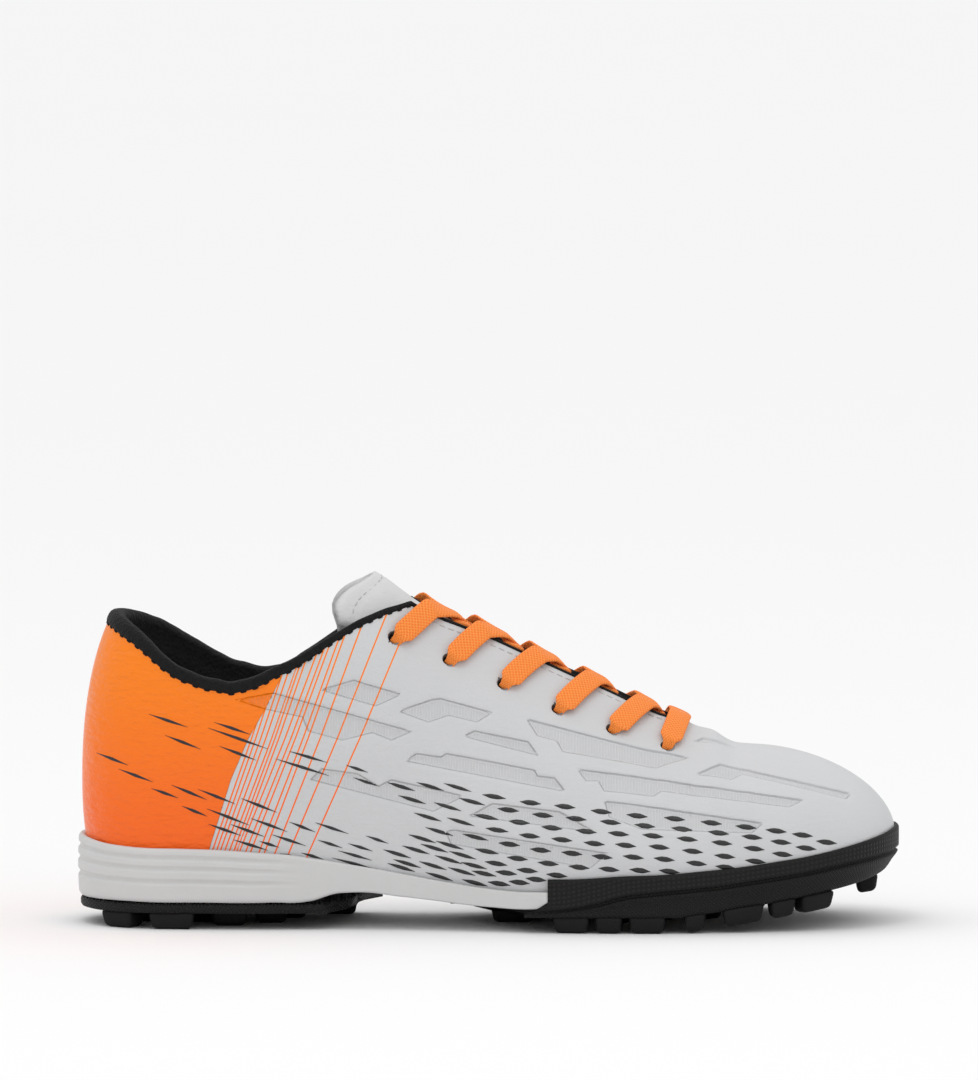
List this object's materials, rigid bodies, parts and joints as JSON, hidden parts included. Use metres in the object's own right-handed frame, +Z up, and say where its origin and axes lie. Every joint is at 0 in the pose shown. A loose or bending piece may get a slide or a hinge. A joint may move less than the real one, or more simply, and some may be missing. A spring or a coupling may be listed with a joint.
{
  "type": "turf shoe",
  "caption": "Low-cut laced turf shoe for the right foot, pale grey upper with an orange heel, ribbed midsole and a black rubber sole with short lugs",
  "frame": {"origin": "middle of the shoe's box, on the floor", "axes": "+X to the toe, -Y to the outer side of the foot, +Z up"},
  "size_m": [0.28, 0.0966, 0.1203],
  "materials": {
    "black_rubber": "matt black rubber, finely textured on its side",
    "grey_foam": "satin pale grey moulded foam",
    "black_lining": "black knitted lining over foam",
    "synthetic_leather": "pale grey synthetic leather with pressed ribs, orange at the heel",
    "tongue_leather": "pale grey padded synthetic leather",
    "orange_lace": "flat woven orange lace"
  },
  "bodies": {
    "root": {"outsole_heel": "black_rubber", "outsole_forefoot": "black_rubber", "midsole": "grey_foam", "insole": "black_lining", "upper": "synthetic_leather", "collar_padding": "black_lining", "tongue": "tongue_leather", "lace_bar": "orange_lace", "lace_crossing_1": "orange_lace", "lace_crossing_2": "orange_lace", "lace_crossing_3": "orange_lace", "lace_crossing_4": "orange_lace", "lace_crossing_5": "orange_lace"}
  },
  "joints": []
}
